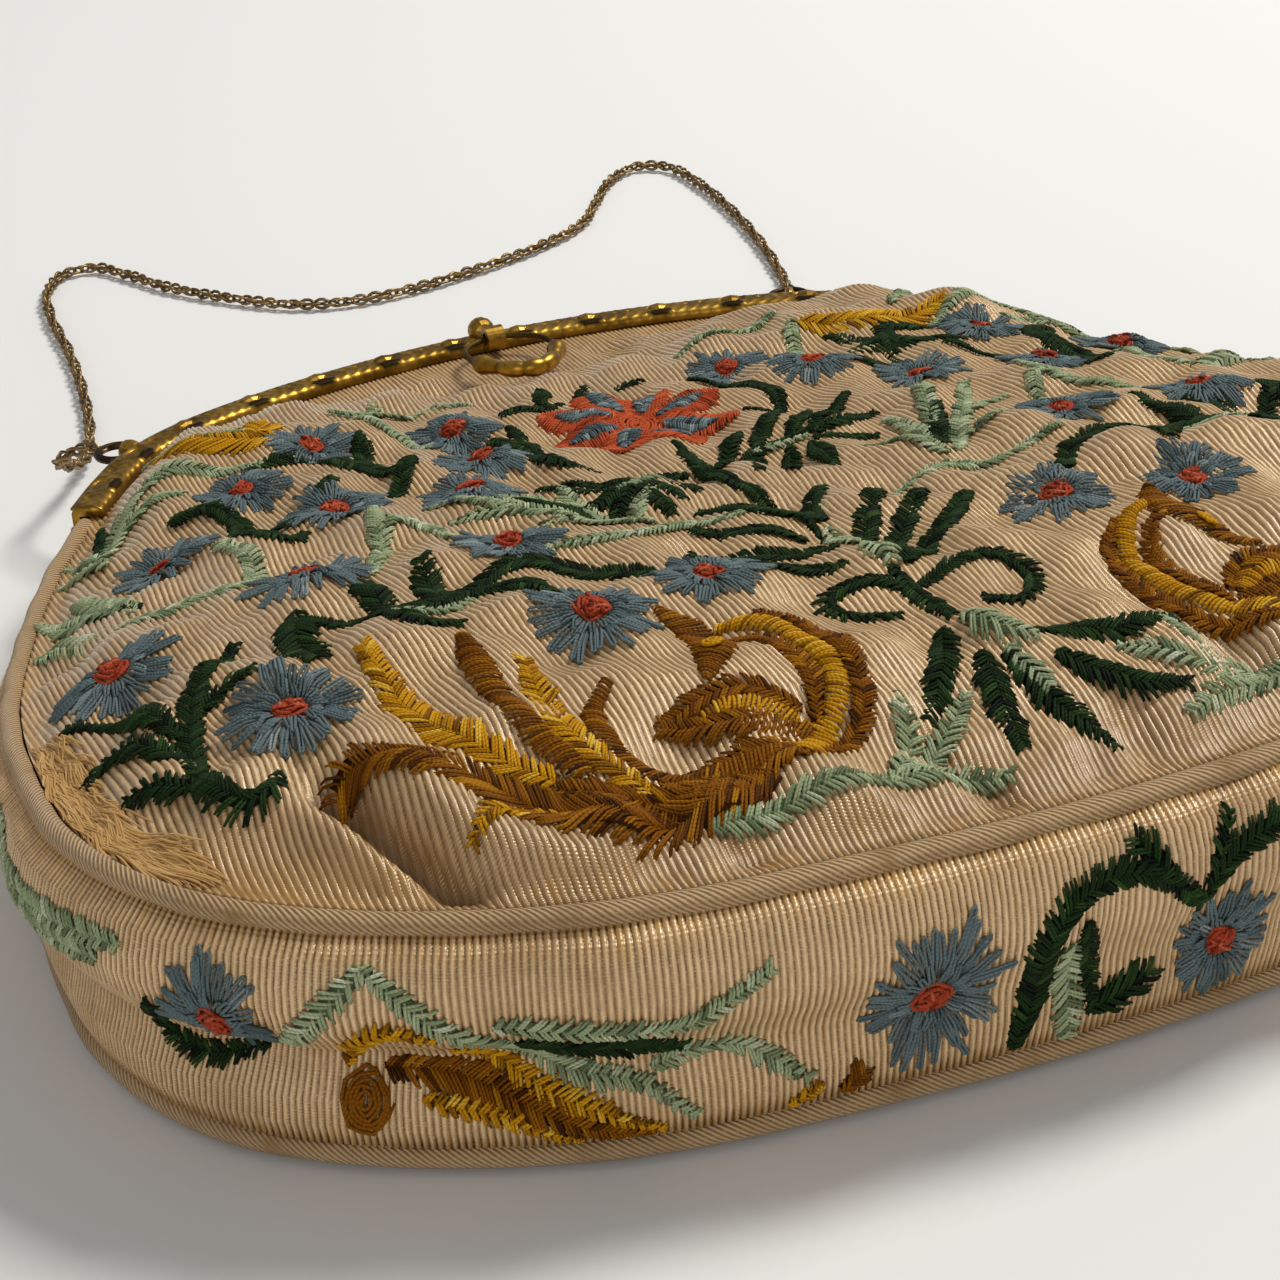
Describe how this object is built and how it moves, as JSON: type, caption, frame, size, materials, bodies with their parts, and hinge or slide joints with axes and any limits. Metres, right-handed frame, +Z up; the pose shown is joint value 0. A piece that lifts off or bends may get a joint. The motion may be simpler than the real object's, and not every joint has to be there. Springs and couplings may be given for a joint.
{
  "type": "handbag",
  "caption": "Embroidered ribbed silk evening handbag lying closed on its back, with corded seams, an arched gilt clasp frame, a lifting crescent pull and a laid fine chain handle.",
  "frame": {"origin": "on the resting surface, under the middle of the back panel", "axes": "+Z up, out of the front panel; +Y from the bag's bottom to its frame and the laid chain; +X across, to the right seen from above"},
  "size_m": [0.223, 0.3485, 0.0434],
  "materials": {
    "silk": "ribbed silk with a soft sheen, embroidered, worn to a golden tone at the edges",
    "twill": "matte tan twill over cord",
    "gilt": "worn gilt with dark tarnish in the hollows",
    "tarnished_metal": "dark tarnish",
    "chain_brass": "dull aged brass"
  },
  "bodies": {
    "bag": {"front_panel": "silk", "back_panel": "silk", "gusset": "silk", "piping_front": "twill", "piping_back": "twill", "frame_front": "gilt", "frame_back": "gilt", "frame_rivet_left": "gilt", "frame_rivet_right": "gilt", "chain_ring_left": "tarnished_metal", "chain_ring_right": "tarnished_metal", "chain": "chain_brass"},
    "pull": {"clasp_pull": "gilt"}
  },
  "joints": [
    {"name": "pull_lift", "type": "hinge", "parent": "bag", "child": "pull", "pos_m": [0, 0.1172, 0.021], "axis": [-1, 0, 0], "range_deg": [0, 115]}
  ]
}
